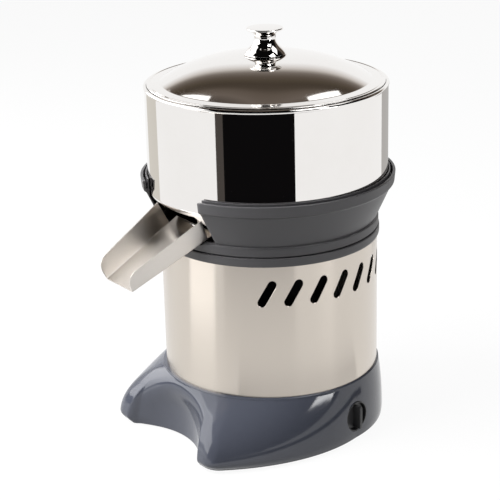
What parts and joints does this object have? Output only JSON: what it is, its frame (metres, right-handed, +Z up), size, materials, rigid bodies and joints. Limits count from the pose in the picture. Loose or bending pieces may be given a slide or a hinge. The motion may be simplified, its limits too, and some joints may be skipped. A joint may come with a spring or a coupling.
{
  "type": "citrus press juicer",
  "caption": "Motor-driven citrus press: toed base, vented steel housing, funnel collar, polished bowl with sloping spout, strainer, spinning reamer and domed lid.",
  "frame": {"origin": "drive shaft axis at the table plane", "axes": "+Z up along the drive shaft, -Y to the front where the spout points, +X to the side with the switch"},
  "size_m": [0.2448, 0.3026, 0.3912],
  "materials": {
    "base_gloss": "glossy blue-grey moulding",
    "collar_grey": "satin mid-grey moulding",
    "housing_steel": "satin brushed sheet",
    "mirror_steel": "mirror-polished sheet",
    "spout_steel": "satin folded sheet",
    "plate_paint": "black paint",
    "black_rubber": "matt",
    "black_plastic": "semi-gloss",
    "dark_plastic": "matt",
    "cream_plastic": "matt",
    "white_plastic": "matt",
    "zinc_steel": "zinc plated",
    "core_iron": "laminated, bare",
    "copper_wire": "enamelled",
    "cast_alloy": "black stoved enamel",
    "bearing_steel": "ground",
    "brass": "turned"
  },
  "bodies": {
    "base": {"base": "base_gloss", "base_plate": "plate_paint", "rubber_foot_ring": "black_rubber", "base_screws": "zinc_steel", "housing": "housing_steel", "housing_cap": "collar_grey", "shaft_seal": "black_rubber", "collar": "collar_grey", "collar_screws": "zinc_steel", "stator_core": "core_iron", "windings": "copper_wire", "motor_bracket_lower": "cast_alloy", "motor_bracket_upper": "cast_alloy", "bearing_lower": "bearing_steel", "bearing_upper": "bearing_steel", "tie_bolts": "zinc_steel", "motor_pads": "black_rubber", "motor_bolts": "zinc_steel", "capacitor": "white_plastic", "capacitor_clamp": "zinc_steel", "terminal_block": "cream_plastic", "terminal_screws": "brass", "switch_body": "dark_plastic", "switch_bezel": "black_plastic", "cord_gland": "black_rubber"},
    "rotor": {"shaft": "bearing_steel", "drive_pin": "bearing_steel", "rotor_core": "core_iron", "cooling_fan": "dark_plastic", "slinger": "black_rubber"},
    "switch": {"switch_knob": "black_plastic"},
    "bowl": {"bowl": "mirror_steel", "spout": "spout_steel"},
    "strainer": {"strainer": "housing_steel"},
    "reamer_seat": {"thrust_washer": "white_plastic"},
    "reamer": {"reamer": "white_plastic", "reamer_insert": "brass"},
    "lid": {"lid": "mirror_steel", "lid_knob": "mirror_steel", "lid_washer": "zinc_steel", "lid_screw": "zinc_steel"}
  },
  "joints": [
    {"name": "motor_spin", "type": "hinge", "parent": "base", "child": "rotor", "pos_m": [0, 0, 0.12], "axis": [0, 0, 1], "continuous": true},
    {"name": "switch_turn", "type": "hinge", "parent": "base", "child": "switch", "pos_m": [0.10931, 0.01928, 0.025], "axis": [0.9848, 0.1736, 0], "range_deg": [0, 90]},
    {"name": "bowl_lift", "type": "slide", "parent": "base", "child": "bowl", "axis": [0, 0, 1], "range_m": [0, 0.13]},
    {"name": "strainer_lift", "type": "slide", "parent": "bowl", "child": "strainer", "axis": [0, 0, 1], "range_m": [0, 0.135]},
    {"name": "reamer_lift", "type": "slide", "parent": "strainer", "child": "reamer_seat", "axis": [0, 0, 1], "range_m": [0, 0.095]},
    {"name": "reamer_spin", "type": "hinge", "parent": "reamer_seat", "child": "reamer", "pos_m": [0, 0, 0.28], "axis": [0, 0, 1], "continuous": true},
    {"name": "lid_lift", "type": "slide", "parent": "reamer_seat", "child": "lid", "axis": [0, 0, 1], "range_m": [0, 0.08]}
  ],
  "couplings": [
    {"joint": "reamer_spin", "follows": "motor_spin", "ratio": 1}
  ]
}
